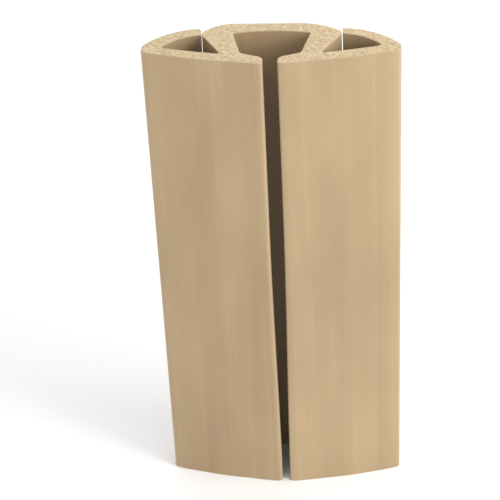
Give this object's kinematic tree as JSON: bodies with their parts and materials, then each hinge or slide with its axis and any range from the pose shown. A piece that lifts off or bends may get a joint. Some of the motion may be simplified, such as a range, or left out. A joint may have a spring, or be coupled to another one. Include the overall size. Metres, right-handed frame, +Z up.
{
  "type": "floor cord cover",
  "caption": "Flexible domed floor cord cover with a slotted central cable channel and a slit side channel along each edge, standing on a cut end.",
  "frame": {"origin": "centre of the lower cut end's bounding box, on the surface that the piece stands on", "axes": "+Z up along the extrusion, -Y the slotted underside that lies on a floor in use, +Y the domed top, +X to the right seen from the slotted side"},
  "size_m": [0.0762, 0.0227, 0.165],
  "materials": {
    "extrusion": "matt beige flexible extrusion with a faint satin on the outer skin"
  },
  "bodies": {
    "crown": {"crown": "extrusion"},
    "left_side": {"left_side": "extrusion"},
    "right_side": {"right_side": "extrusion"},
    "left_flap": {"left_flap": "extrusion"},
    "right_flap": {"right_flap": "extrusion"},
    "left_lip": {"left_lip": "extrusion"},
    "right_lip": {"right_lip": "extrusion"}
  },
  "joints": [
    {"name": "left_crown_flex", "type": "hinge", "parent": "crown", "child": "left_side", "pos_m": [-0.0075, 0.00893, 0.0825], "axis": [0, 0, -1], "range_deg": [-1, 15], "stiffness_Nm_per_rad": 0.4},
    {"name": "left_flap_flex", "type": "hinge", "parent": "left_side", "child": "left_flap", "pos_m": [-0.03063, 0.00307, 0.0825], "axis": [0, 0, 1], "range_deg": [0, 35], "stiffness_Nm_per_rad": 0.35},
    {"name": "left_lip_flex", "type": "hinge", "parent": "left_side", "child": "left_lip", "pos_m": [-0.0068, -0.00848, 0.0825], "axis": [0, 0, 1], "range_deg": [-15, 20], "stiffness_Nm_per_rad": 0.5},
    {"name": "right_crown_flex", "type": "hinge", "parent": "crown", "child": "right_side", "pos_m": [0.0075, 0.00893, 0.0825], "axis": [0, 0, 1], "range_deg": [-1, 15], "stiffness_Nm_per_rad": 0.4},
    {"name": "right_flap_flex", "type": "hinge", "parent": "right_side", "child": "right_flap", "pos_m": [0.03063, 0.00307, 0.0825], "axis": [0, 0, -1], "range_deg": [0, 35], "stiffness_Nm_per_rad": 0.35},
    {"name": "right_lip_flex", "type": "hinge", "parent": "right_side", "child": "right_lip", "pos_m": [0.0068, -0.00848, 0.0825], "axis": [0, 0, -1], "range_deg": [-15, 20], "stiffness_Nm_per_rad": 0.5}
  ]
}
